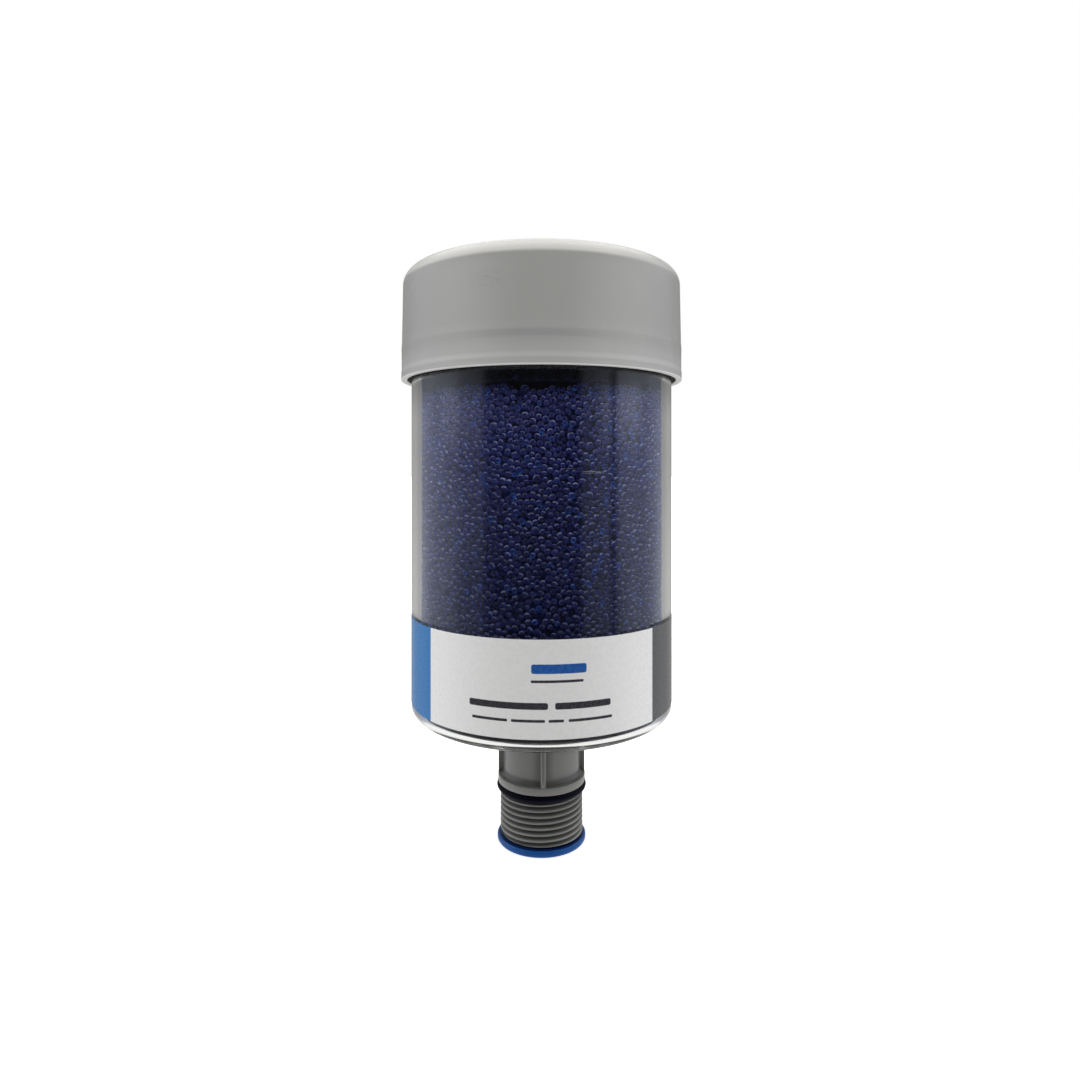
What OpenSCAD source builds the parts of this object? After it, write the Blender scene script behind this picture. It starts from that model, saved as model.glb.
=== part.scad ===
// Silica gel breather: a clear cup of drying beads under an umbrella cap,
// on a ribbed stem with a parallel pipe thread. Millimetres, +Z up.
// The origin lies on the axis, at the top end of the threaded wall.

/* [Cap] */
// Radius of the lip at the foot of the skirt
cap_r = 56.05; // [55.6:0.05:57]
// Radius of the skirt at the top, under the rounded edge
cap_r_top = 55.2; // [54.8:0.1:55.4]
// Height of the foot of the skirt
cap_z0 = 163.5; // [158:0.5:170]
// Height of the top face
cap_z1 = 206.7; // [205:0.1:212]
// Radius of the rounded top edge
cap_round = 6; // [4:0.5:8]
// Wall of the cap
cap_wall = 2.45; // [2:0.05:2.6]
// Height of the soft band above the foot
cap_band = 12.6; // [9:0.1:15]
// Number of spacer ribs inside
cap_ribs = 6; // [3:1:12]

/* [Body] */
// Outer radius of the clear cup
body_r = 52; // [51.5:0.1:52.2]
// Wall of the clear cup
body_wall = 3.6; // [3.2:0.1:4]
// Height of the underside of the cup
body_z0 = 32; // [30:0.5:34]
// Height of the rim of the cup
body_z1 = 187.2; // [186:0.2:189]
// Thickness of the floor of the cup
floor_t = 2.2; // [1.8:0.1:2.6]
// Radius of the lower outside edge
body_round = 4.3; // [3:0.1:5]
// Radius of the lower inside edge
body_round_in = 1.6; // [1.5:0.1:3]

/* [Label] */
// Height of the lower edge of the label
label_z0 = 37.6; // [37:0.1:42]
// Height of the upper edge of the label
label_z1 = 71.3; // [60:0.1:90]
// Thickness of the label
label_t = 0.15; // [0.1:0.05:0.3]
// Angle left open at the back
label_gap = 16; // [4:1:60]

/* [Filling] */
// Height of the underside of the bead bed
bed_z0 = 59.7; // [58:0.1:64]
// Height of the top of the bead bed
bed_z1 = 158.5; // [150:0.1:173]
// Thickness of each filter disc
filter_t = 4; // [3:0.5:4]
// Thickness of the lower foam pad
foam_t = 6; // [4:0.5:6]

/* [Stem] */
// Major radius of the thread
thread_r = 16.62; // [16.4:0.01:16.8]
// Length of the threaded spigot
thread_len = 17.25; // [14:0.25:17.5]
// Radius of the bore
bore_r = 12; // [10.5:0.1:12.2]
// Radius of the collar and of the ribs
collar_r = 17.55; // [17.2:0.05:18]
// Height of the groove for the sealing ring
groove_h = 3.2; // [3.1:0.1:3.6]
// Height of the collar
collar_h = 3.1; // [2.5:0.1:4]
// Radius of the neck between the ribs
neck_r = 15.3; // [15:0.1:15.8]
// Thickness of a rib
rib_t = 1.9; // [1.5:0.1:3]
// Turn of the ribs about the axis, from straight ahead
rib_turn = 2.3; // [-45:0.1:45]

/* [Plug] */
// Radius of the flange of the shipping plug
plug_r = 17.8; // [17:0.1:20]
// Thickness of that flange
plug_t = 2.6; // [1.8:0.05:3]
// Depth of the spigot of the plug in the bore
plug_depth = 11; // [8:0.5:14]

/* [Hidden] */
$fn = 96;
body_ri = body_r - body_wall;
floor_z = body_z0 + floor_t;
collar_z0 = groove_h;
collar_z1 = groove_h + collar_h;
groove_r = 14.85;
tail_r = 14.6;
tail_z = floor_z + 8.2;
gasket_t = 1.5;
nut_t = 6;
grid_t = 2.5;
grid_z0 = bed_z0 - foam_t - filter_t - grid_t;
inner_r = body_ri - 0.2;
skirt_r = body_ri - body_round_in - 0.1;
ret_t = 3;
ret_ring_z = 181.2;
cord_r = 1.55;
plug_z1 = -thread_len - 0.6;
plug_z0 = plug_z1 - plug_t;
cap_in_z = cap_z1 - 2.5;

// Points of an arc in the half plane of a turned section
function arc(cx, cz, r, a0, a1, n = 6) =
    [for (i = [0:n]) let (a = a0 + (a1 - a0) * i / n) [cx + r * cos(a), cz + r * sin(a)]];

// Plain disc or ring
module ring(r1, r0, z0, z1) {
    translate([0, 0, z0]) difference() {
        cylinder(r = r1, h = z1 - z0);
        translate([0, 0, -1]) cylinder(r = r0, h = z1 - z0 + 2);
    }
}

// Moulded grille of concentric rings and spokes
module grille(rings, w, spokes, z0, t) {
    translate([0, 0, z0]) cylinder(r = 5, h = t);
    for (r = rings) ring(r, r - w, z0, z0 + t);
    for (i = [0:spokes - 1]) rotate([0, 0, i * 360 / spokes + 15])
        translate([4, -w / 2, z0]) cube([rings[len(rings) - 1] - 4.8, w, t]);
}

// Umbrella cap: tapered skirt, soft band, lip, and six spacer ribs inside
module cap() {
    band_z = cap_z0 + cap_band;
    wall_i = cap_r - cap_wall;
    section = concat(
        [[0, cap_in_z], [0, cap_z1 - 0.3], [3.2, cap_z1 - 0.3], [3.5, cap_z1]],
        arc(cap_r_top - cap_round, cap_z1 - cap_round, cap_round, 90, 1.5, 12),
        [[cap_r - 0.30, band_z + 0.5], [cap_r - 0.14, band_z - 0.5],
         [cap_r - 0.10, cap_z0 + 3.6], [cap_r, cap_z0 + 2.9]],
        arc(cap_r - 0.45, cap_z0 + 0.45, 0.45, 0, -90, 4),
        [[wall_i + 0.3, cap_z0], [wall_i, cap_z0 + 0.3], [wall_i - 0.05, band_z]],
        arc(cap_r_top - 2.5 - 3.5, cap_in_z - 3.5, 3.5, 0, 90, 6));
    color([0.59, 0.59, 0.58]) union() {
        rotate_extrude() polygon(section);
        for (i = [0:cap_ribs - 1]) rotate([0, 0, i * 360 / cap_ribs + 30])
            translate([0, 1, 0]) rotate([90, 0, 0]) linear_extrude(2)
                polygon([[body_r + 0.3, band_z + 2], [cap_r_top - 1.4, band_z + 2],
                         [cap_r_top - 1.4, cap_in_z - 2], [cap_r_top - 5, cap_in_z + 1],
                         [body_r - 4, cap_in_z + 1], [body_r - 4, body_z1 + ret_t + 0.05],
                         [body_r + 0.3, body_z1 + ret_t + 0.05]]);
    }
}

// Grille that closes the cup and presses the filter down
module top_retainer() {
    color([0.2, 0.2, 0.21]) union() {
        grille([14, 23, 32, 41, body_r], 2.2, 12, body_z1, ret_t);
        ring(body_r, 45.6, body_z1, body_z1 + ret_t);
        ring(inner_r, 45.6, ret_ring_z, body_z1 + 1);
    }
}

// Upper disc of filter media
module top_filter() {
    color([0.9, 0.89, 0.85]) translate([0, 0, ret_ring_z - filter_t])
        cylinder(r = inner_r, h = filter_t);
}

// Upper foam pad
module top_foam() {
    color([0.16, 0.16, 0.17]) translate([0, 0, bed_z1])
        cylinder(r = inner_r, h = ret_ring_z - filter_t - bed_z1);
}

// Bed of drying beads
module gel_bed() {
    color([0.05, 0.06, 0.2]) translate([0, 0, bed_z0])
        cylinder(r = body_ri - 0.1, h = bed_z1 - bed_z0);
}

// Clear cup with a rounded lower edge and a hole for the stem
module body() {
    section = concat(
        [[tail_r + 0.15, body_z0]],
        arc(body_r - body_round, body_z0 + body_round, body_round, -90, 0, 8),
        [[body_r, body_z1 - 0.4], [body_r - 0.4, body_z1],
         [body_ri + 0.4, body_z1], [body_ri, body_z1 - 0.4]],
        arc(body_ri - body_round_in, floor_z + body_round_in, body_round_in, 0, -90, 5),
        [[tail_r + 0.15, floor_z]]);
    color([0.82, 0.84, 0.84, 0.35]) rotate_extrude() polygon(section);
}

// Label wrapped round the lower part of the cup, open at the back
module label() {
    color([0.93, 0.93, 0.93]) rotate([0, 0, 90 + label_gap / 2])
        rotate_extrude(angle = 360 - label_gap)
            translate([body_r + 0.02, label_z0]) square([label_t, label_z1 - label_z0]);
}

// Lower foam pad
module bottom_foam() {
    color([0.16, 0.16, 0.17]) translate([0, 0, bed_z0 - foam_t])
        cylinder(r = inner_r, h = foam_t);
}

// Lower disc of filter media
module bottom_filter() {
    color([0.9, 0.89, 0.85]) translate([0, 0, bed_z0 - foam_t - filter_t])
        cylinder(r = inner_r, h = filter_t);
}

// Grid on a round skirt that carries the bed above the floor of the cup
module bottom_grid() {
    color([0.2, 0.2, 0.21]) union() {
        grille([14, 22.5, 31, 39.5, inner_r], 2.2, 12, grid_z0, grid_t);
        ring(skirt_r, skirt_r - 2, floor_z, grid_z0 + 1);
    }
}

// Hexagon nut that clamps the stem to the floor of the cup
module stem_nut() {
    color([0.4, 0.4, 0.39]) translate([0, 0, floor_z + gasket_t]) difference() {
        cylinder(r = 22.5, h = nut_t, $fn = 6);
        translate([0, 0, -1]) cylinder(r = tail_r + 0.05, h = nut_t + 2);
    }
}

// Flat sealing ring under the nut
module stem_gasket() {
    color([0.08, 0.08, 0.08]) ring(22, tail_r + 0.1, floor_z, floor_z + gasket_t);
}

// Stem: tail through the floor, ribbed neck, collar, groove, threaded spigot
module stem() {
    cove = 1.8;
    section = concat(
        [[bore_r, -thread_len], [thread_r - 1.2, -thread_len], [thread_r, -thread_len + 1],
         [thread_r, 0], [groove_r, 0], [groove_r, collar_z0],
         [collar_r - 0.25, collar_z0], [collar_r, collar_z0 + 0.25],
         [collar_r, collar_z1]],
        arc(neck_r + cove, collar_z1 + cove, cove, -90, -180, 5),
        [[neck_r, body_z0], [tail_r, body_z0], [tail_r, tail_z - 0.6],
         [tail_r - 0.6, tail_z], [bore_r, tail_z]]);
    color([0.44, 0.44, 0.42]) union() {
        rotate([0, 0, 45]) rotate_extrude() polygon(section);
        for (i = [0:3]) rotate([0, 0, rib_turn + i * 90])
            translate([0, 0, collar_z1 - 0.5]) intersection() {
                translate([bore_r + 1, -rib_t / 2, 0])
                    cube([collar_r, rib_t, body_z0 - collar_z1 + 0.45]);
                translate([0, 0, -1]) cylinder(r = collar_r - 0.1, h = body_z0);
            }
    }
}

// Sealing ring under the collar
module o_ring() {
    color([0.03, 0.03, 0.05]) translate([0, 0, groove_h / 2])
        rotate_extrude() translate([groove_r + 0.05 + cord_r, 0]) circle(r = cord_r, $fn = 48);
}

// Shipping plug: round-edged flange with a shallow dish below, hollow spigot in the bore
module shipping_plug() {
    rr = 0.9;
    top = plug_z1 + plug_depth;
    section = concat(
        [[0, plug_z0 + 0.7], [bore_r - 1.2, plug_z0 + 0.7], [bore_r - 0.5, plug_z0]],
        arc(plug_r - rr, plug_z0 + rr, rr, -90, 0, 5),
        arc(plug_r - rr, plug_z1 - rr, rr, 0, 90, 5),
        [[bore_r - 0.3, plug_z1], [bore_r - 0.3, top - 1.2], [bore_r - 0.9, top],
         [bore_r - 1.9, top], [bore_r - 2.1, plug_z1 + 0.6], [0, plug_z1 + 0.6]]);
    color([0.1, 0.3, 0.58]) rotate_extrude() polygon(section);
}

cap();
top_retainer();
top_filter();
top_foam();
gel_bed();
body();
label();
bottom_foam();
bottom_filter();
bottom_grid();
stem_nut();
stem_gasket();
stem();
o_ring();
shipping_plug();
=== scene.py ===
"""Looks of a silica gel breather: clear cup of dark blue beads, grey cap and stem, label, seal and plug."""
import math

import bmesh
import bpy
import numpy as np
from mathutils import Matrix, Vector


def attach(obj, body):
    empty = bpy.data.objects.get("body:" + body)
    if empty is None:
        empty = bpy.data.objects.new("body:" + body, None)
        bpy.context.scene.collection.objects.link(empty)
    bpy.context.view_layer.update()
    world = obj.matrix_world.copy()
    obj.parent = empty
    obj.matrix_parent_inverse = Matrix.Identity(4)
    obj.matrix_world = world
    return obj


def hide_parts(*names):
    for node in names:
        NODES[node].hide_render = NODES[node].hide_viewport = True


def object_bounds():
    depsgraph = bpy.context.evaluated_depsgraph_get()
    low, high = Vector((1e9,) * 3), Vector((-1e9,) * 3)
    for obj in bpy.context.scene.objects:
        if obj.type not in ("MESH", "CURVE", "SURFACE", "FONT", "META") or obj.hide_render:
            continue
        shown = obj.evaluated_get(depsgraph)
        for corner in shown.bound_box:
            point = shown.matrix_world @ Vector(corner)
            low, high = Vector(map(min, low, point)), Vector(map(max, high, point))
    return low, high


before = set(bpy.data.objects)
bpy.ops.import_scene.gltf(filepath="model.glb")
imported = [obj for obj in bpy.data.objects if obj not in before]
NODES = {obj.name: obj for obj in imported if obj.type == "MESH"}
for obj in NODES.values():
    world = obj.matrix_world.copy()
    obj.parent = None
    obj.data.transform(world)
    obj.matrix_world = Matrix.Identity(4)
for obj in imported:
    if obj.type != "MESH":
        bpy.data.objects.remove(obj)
CAD_BOX = [[float(c) for c in v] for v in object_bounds()]
TAU = 2 * math.pi
SCENE = bpy.context.scene


# ---------------------------------------------------------------- mesh helpers
def add(name, verts_mm, faces, material, body, node=None, sharp=34.0, fix=True):
    """A mesh object from points in millimetres, riding on a body and standing for a node."""
    me = bpy.data.meshes.new(name)
    me.from_pydata((np.asarray(verts_mm, float) * 0.001).tolist(), [], faces)
    if fix:
        bm = bmesh.new()
        bm.from_mesh(me)
        bmesh.ops.remove_doubles(bm, verts=bm.verts, dist=1e-7)
        bmesh.ops.recalc_face_normals(bm, faces=bm.faces)
        bm.to_mesh(me)
        bm.free()
    me.shade_smooth()
    me.set_sharp_from_angle(angle=math.radians(sharp))
    me.materials.append(material)
    ob = bpy.data.objects.new(name, me)
    SCENE.collection.objects.link(ob)
    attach(ob, body)
    if node:
        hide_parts(node)
    return ob


def rounded(points, closed=False, step=9.0):
    """Polyline of a turned section: each (r, z, fillet) corner becomes an arc, with close support points."""
    out, n = [], len(points)
    for i, p in enumerate(points):
        f = p[2] if len(p) > 2 else 0.0
        here = np.array(p[:2], float)
        if not closed and i in (0, n - 1) or f <= 0:
            out.append(tuple(here))
            continue
        a = np.array(points[i - 1][:2], float) - here
        b = np.array(points[(i + 1) % n][:2], float) - here
        la, lb = np.linalg.norm(a), np.linalg.norm(b)
        a, b = a / la, b / lb
        ang = math.acos(max(-1.0, min(1.0, float(a @ b))))
        if ang > math.pi - 1e-3:
            out.append(tuple(here))
            continue
        t = min(f / math.tan(ang / 2), 0.47 * la, 0.47 * lb)
        f = t * math.tan(ang / 2)
        mid = (a + b) / np.linalg.norm(a + b)
        c = here + mid * f / math.sin(ang / 2)
        p0, p1 = here + a * t, here + b * t
        k = max(2, int(math.ceil(math.degrees(math.pi - ang) / step)))
        v0, v1 = p0 - c, p1 - c
        turn = math.atan2(v0[0] * v1[1] - v0[1] * v1[0], float(v0 @ v1))
        s = min(0.12 * f + 0.02, 0.2 * (la - t), 0.2 * (lb - t))
        out.append(tuple(p0 + a * s))
        for j in range(k + 1):
            w = turn * j / k
            out.append((c[0] + v0[0] * math.cos(w) - v0[1] * math.sin(w), c[1] + v0[0] * math.sin(w) + v0[1] * math.cos(w)))
        out.append(tuple(p1 + b * s))
    return out


def lathe(profile, segs=256, closed=False):
    """Vertices and faces of a turned section of (r, z) points."""
    verts, rings, faces = [], [], []
    for r, z in profile:
        if r < 1e-6:
            rings.append([len(verts)])
            verts.append((0.0, 0.0, z))
        else:
            base = len(verts)
            rings.append(list(range(base, base + segs)))
            verts += [(r * math.cos(TAU * i / segs), r * math.sin(TAU * i / segs), z) for i in range(segs)]
    pairs = list(zip(rings, rings[1:])) + ([(rings[-1], rings[0])] if closed else [])
    for a, b in pairs:
        if len(a) == 1 and len(b) == 1:
            continue
        for i in range(segs):
            j = (i + 1) % segs
            if len(a) == 1:
                faces.append((a[0], b[i], b[j]))
            elif len(b) == 1:
                faces.append((a[i], a[j], b[0]))
            else:
                faces.append((a[i], a[j], b[j], b[i]))
    return verts, faces


def prism(outline_rz, half_t, angle, verts, faces):
    """Adds a fin: an (r, z) outline of the given half thickness, turned about the axis."""
    c, s = math.cos(angle), math.sin(angle)
    base, n = len(verts), len(outline_rz)
    for side in (-half_t, half_t):
        for r, z in outline_rz:
            verts.append((r * c - side * s, r * s + side * c, z))
    faces.append(tuple(base + i for i in range(n)))
    faces.append(tuple(base + n + i for i in reversed(range(n))))
    for i in range(n):
        j = (i + 1) % n
        faces.append((base + i, base + j, base + n + j, base + n + i))


# ------------------------------------------------------------ material helpers
def srgb(r, g, b):
    def lin(c):
        c /= 255.0
        return c / 12.92 if c <= 0.04045 else ((c + 0.055) / 1.055) ** 2.4

    return (lin(r), lin(g), lin(b), 1.0)


class Mat:
    """A node material with short ways to add and join nodes."""

    def __init__(self, name):
        self.m = bpy.data.materials.new(name)
        self.m.use_nodes = True
        self.t = self.m.node_tree
        self.b = self.t.nodes["Principled BSDF"]
        self.out = self.t.nodes["Material Output"]

    def node(self, kind, **inputs):
        n = self.t.nodes.new(kind)
        for k, v in inputs.items():
            self.put(n.inputs[int(k[1:])] if k[0] == "i" and k[1:].isdigit() else n.inputs[k.replace("_", " ")], v)
        return n

    def put(self, socket, v):
        if hasattr(v, "links") and hasattr(v, "is_output"):
            self.t.links.new(v, socket)
        else:
            socket.default_value = v

    def math(self, op, a, b=0.0, c=0.0, clamp=False):
        n = self.t.nodes.new("ShaderNodeMath")
        n.operation, n.use_clamp = op, clamp
        for s, v in zip(n.inputs, (a, b, c)):
            self.put(s, v)
        return n.outputs[0]

    def ramp(self, v, lo, hi, a=0.0, b=1.0, smooth=True):
        n = self.t.nodes.new("ShaderNodeMapRange")
        n.interpolation_type = "SMOOTHSTEP" if smooth else "LINEAR"
        for s, x in zip(("Value", "From Min", "From Max", "To Min", "To Max"), (v, lo, hi, a, b)):
            self.put(n.inputs[s], x)
        return n.outputs[0]

    def mix(self, f, a, b):
        n = self.t.nodes.new("ShaderNodeMix")
        n.data_type = "RGBA"
        self.put(n.inputs["Factor"], f)
        self.put(n.inputs[6], a)
        self.put(n.inputs[7], b)
        return n.outputs[2]

    def coords(self, scale=(1, 1, 1), out="Object"):
        tc = self.t.nodes.new("ShaderNodeTexCoord")
        if scale == (1, 1, 1):
            return tc.outputs[out]
        mp = self.t.nodes.new("ShaderNodeMapping")
        mp.inputs["Scale"].default_value = scale
        self.t.links.new(tc.outputs[out], mp.inputs["Vector"])
        return mp.outputs["Vector"]

    def noise(self, scale, detail=3.0, rough=0.5, vec=None, distortion=0.0):
        n = self.node("ShaderNodeTexNoise", Scale=scale, Detail=detail, Roughness=rough, Distortion=distortion)
        self.put(n.inputs["Vector"], vec if vec is not None else self.coords())
        return n.outputs["Fac"]

    def voronoi(self, scale, vec=None, out="Distance", feature="F1"):
        n = self.t.nodes.new("ShaderNodeTexVoronoi")
        n.feature = feature
        n.inputs["Scale"].default_value = scale
        self.put(n.inputs["Vector"], vec if vec is not None else self.coords())
        return n.outputs[out]

    def bump(self, height, dist_mm, strength=1.0, normal=None):
        n = self.node("ShaderNodeBump", Strength=strength, Distance=dist_mm * 0.001, Height=height)
        if normal is not None:
            self.put(n.inputs["Normal"], normal)
        return n.outputs["Normal"]

    def set(self, **kw):
        for k, v in kw.items():
            self.put(self.b.inputs[k.replace("_", " ")], v)
        return self


def moulded(name, colour, rough, grain_mm=0.012, mottle=0.06, spec=0.5, marks=None, worn=0.10):
    """Injection-moulded plastic: faint mottling, fine spark-eroded grain, uneven sheen and a few rub marks."""
    m = Mat(name)
    cloud = m.noise(38.0, 4.0, 0.6)
    fine = m.noise(2600.0, 2.0, 0.6)
    rub = m.noise(60.0, 5.0, 0.7, vec=m.coords((1.0, 1.0, 6.0)), distortion=0.6)
    light = tuple(min(1.0, c * (1 + mottle)) for c in colour[:3]) + (1.0,)
    dark = tuple(c * (1 - mottle) for c in colour[:3]) + (1.0,)
    col = m.mix(m.ramp(cloud, 0.3, 0.7), dark, light)
    col = m.mix(m.ramp(rub, 0.66, 0.8, 0.0, worn), col, (0.62, 0.62, 0.60, 1.0))
    # marks may paint highlights and shade into the colour as well as wear
    if marks:
        col = marks(m, col)
    r = m.math("ADD", m.ramp(cloud, 0.3, 0.7, rough - worn / 2, rough + worn / 2), m.ramp(fine, 0.2, 0.8, -0.03, 0.03))
    n = m.bump(fine, grain_mm, 0.6)
    n = m.bump(m.noise(420.0, 3.0, 0.5), grain_mm * 2.5, 0.5, n)
    m.set(Base_Color=col, Roughness=r, Normal=n, Specular_IOR_Level=spec)
    return m


def place(m):
    """Height in millimetres, azimuth from the front in degrees, and distance from the axis in millimetres."""
    xyz = m.node("ShaderNodeSeparateXYZ", Vector=m.coords())
    x, y, z = (xyz.outputs[k] for k in "XYZ")
    az = m.math("MULTIPLY", m.math("ARCTAN2", x, m.math("MULTIPLY", y, -1.0)), 180 / math.pi)
    far = m.math("SQRT", m.math("ADD", m.math("MULTIPLY", x, x), m.math("MULTIPLY", y, y)))
    return m.math("MULTIPLY", z, 1000.0), az, m.math("MULTIPLY", far, 1000.0)


def cap_painted_light_and_rub(m, col):
    """A paler painted highlight on the rounded top edge that fades to the sides, a painted sheen left and right of the
    middle, painted shade further round, painted highlights on the lip and lower band, painted shade in a band between
    them at the front, and one rubbed spot.
    """
    h, az, far = place(m)
    # painted highlight: the rounded top edge is paler, most at the front and back, less at the sides, and kept off the
    # middle of the flat top
    edge = m.math("SUBTRACT", m.ramp(h, 200.8, 202.2, 0.0, 0.66), m.ramp(h, 203.9, 206.3, 0.0, 0.62))
    wane = m.math("MINIMUM", m.ramp(az, 20.0, 54.0, 1.0, 0.2), m.ramp(az, -62.0, -25.0, 0.45, 1.0))
    wane = m.math("ADD", wane, m.math("ADD", m.ramp(az, 105.0, 150.0, 0.0, 0.8), m.ramp(az, -150.0, -105.0, 0.55, 0.0)))
    edge = m.math("MULTIPLY", m.math("MULTIPLY", edge, wane), m.ramp(far, 38.0, 50.0))
    off = m.math("ABSOLUTE", az)
    # painted sheen: the side wall is paler left and right of the middle
    sheen = m.math("MULTIPLY", m.ramp(off, 6.0, 24.0), m.ramp(off, 28.0, 52.0, 1.0, 0.0))
    wall = m.ramp(h, 198.0, 202.5, 1.0, 0.0)
    col = m.mix(m.math("MULTIPLY", m.math("MULTIPLY", sheen, wall), 0.26), col, (0.64, 0.64, 0.625, 1))
    # painted shade: the side wall is darker further round towards the sides
    side_shade = m.math("MULTIPLY", m.ramp(off, 46.0, 66.0), m.ramp(off, 110.0, 140.0, 0.12, 0.0))
    col = m.mix(m.math("MULTIPLY", side_shade, wall), col, (0.25, 0.25, 0.25, 1))
    col = m.mix(edge, col, (0.88, 0.865, 0.83, 1))
    # painted highlights: a faint pale line above the lip, a pale lower edge on the lip and a faintly paler band above
    # it
    line = m.math("MULTIPLY", m.ramp(h, 165.4, 166.4), m.ramp(h, 166.7, 168.6, 1.0, 0.0))
    col = m.mix(m.math("MULTIPLY", line, 0.15), col, (0.90, 0.90, 0.88, 1))
    col = m.mix(m.ramp(h, 163.7, 164.05, 0.85, 0.0), col, (0.96, 0.955, 0.94, 1))
    col = m.mix(m.ramp(h, 168.5, 173.8, 0.14, 0.0), col, (0.86, 0.86, 0.85, 1))
    # painted shade: a darker band at the front just above the lower band
    front_shade = m.math("MULTIPLY", m.ramp(h, 172.2, 173.6), m.ramp(h, 174.4, 176.4, 1.0, 0.0))
    front_shade = m.math("MULTIPLY", front_shade, m.ramp(m.math("ABSOLUTE", m.math("ADD", az, 1.0)), 6.0, 38.0, 1.0, 0.0))
    col = m.mix(m.math("MULTIPLY", front_shade, 0.20), col, (0.20, 0.21, 0.26, 1))
    streak = m.noise(900.0, 3.0, 0.7, vec=m.coords((0.35, 0.35, 3.0)))
    spot = m.math("MULTIPLY", m.ramp(m.math("ABSOLUTE", m.math("ADD", az, 19.5)), 3.0, 8.5, 1.0, 0.0), m.ramp(m.math("ABSOLUTE", m.math("SUBTRACT", h, 192.6)), 1.0, 4.6, 1.0, 0.0))
    return m.mix(m.math("MULTIPLY", m.math("MULTIPLY", spot, m.ramp(streak, 0.48, 0.66)), 0.22), col, (0.22, 0.22, 0.22, 1))


def stem_painted_shade_and_highlight(m, col):
    """Painted shade in the valleys of the thread, in the cove above the collar, in the corners beside the ribs and on
    the middle of their faces, and painted highlights along the rib edges.
    """
    h, az, far = place(m)
    turned = m.math("FLOORED_MODULO", m.math("ADD", az, 45.0 - 2.3), 90.0)
    off = m.math("ABSOLUTE", m.math("SUBTRACT", turned, 45.0))
    neck = m.ramp(h, 7.2, 9.5)
    # painted shade in the corners beside each rib
    corner = m.math("MULTIPLY", m.math("MULTIPLY", m.ramp(off, 2.9, 3.3), m.ramp(off, 4.5, 19.0, 1.0, 0.0)), neck)
    col = m.mix(m.math("MULTIPLY", corner, 0.42), col, (0.05, 0.05, 0.055, 1))
    # painted highlight along both edges of each rib
    rim = m.math("MULTIPLY", m.math("MULTIPLY", m.ramp(off, 1.5, 2.1), m.ramp(off, 2.7, 3.1, 1.0, 0.0)), neck)
    col = m.mix(m.math("MULTIPLY", rim, 0.30), col, (0.62, 0.62, 0.60, 1))
    # painted shade on the middle of each rib's face
    face = m.math("MULTIPLY", m.ramp(off, 1.2, 1.8, 1.0, 0.0), neck)
    col = m.mix(m.math("MULTIPLY", face, 0.30), col, (0.06, 0.06, 0.062, 1))
    # painted shade in the thread valleys and in the cove above the collar
    valley = m.math("MULTIPLY", m.ramp(far, 15.7, 16.58, 1.0, 0.0), m.ramp(h, 0.05, 0.2, 1.0, 0.0))
    cove = m.math("MULTIPLY", m.ramp(h, 6.2, 6.6), m.ramp(h, 7.6, 9.4, 1.0, 0.0))
    cove = m.math("MULTIPLY", cove, m.ramp(far, 17.0, 17.4, 1.0, 0.0))
    return m.mix(m.math("MULTIPLY", m.math("MAXIMUM", valley, m.math("MULTIPLY", cove, 0.5)), 0.82), col, (0.05, 0.05, 0.055, 1))


# ------------------------------------------------------------------- materials
CAP = moulded("cap_plastic", srgb(178, 178, 175), 0.25, grain_mm=0.007, mottle=0.012, spec=0.3, marks=cap_painted_light_and_rub, worn=0.03)
STEM = moulded("stem_plastic", srgb(148, 147, 142), 0.36, mottle=0.025, marks=stem_painted_shade_and_highlight)
GRID = moulded("grid_plastic", srgb(32, 32, 35), 0.45, spec=0.25)


def clear_plastic():
    m = Mat("clear_plastic")
    wave = m.noise(60.0, 2.0, 0.5, vec=m.coords((1.0, 1.0, 0.03)))
    line = m.noise(420.0, 3.0, 0.65, vec=m.coords((1.0, 1.0, 0.012)))
    fine = m.noise(900.0, 2.0, 0.5)
    m.set(
        Base_Color=m.mix(wave, (0.93, 0.94, 0.935, 1), (0.97, 0.975, 0.97, 1)),
        Roughness=m.ramp(fine, 0.35, 0.8, 0.015, 0.05),
        Normal=m.bump(line, 0.012, 0.5, m.bump(wave, 0.05, 0.4)),
        IOR=1.49,
        Transmission_Weight=1.0,
    )
    lp = m.t.nodes.new("ShaderNodeLightPath")
    see = m.node("ShaderNodeBsdfTransparent", Color=(0.90, 0.92, 0.91, 1))
    both = m.t.nodes.new("ShaderNodeMixShader")
    m.put(both.inputs[0], lp.outputs["Is Shadow Ray"])
    m.put(both.inputs[1], m.b.outputs[0])
    m.put(both.inputs[2], see.outputs[0])
    m.put(m.out.inputs["Surface"], both.outputs[0])
    return m


CLEAR = clear_plastic()


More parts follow.
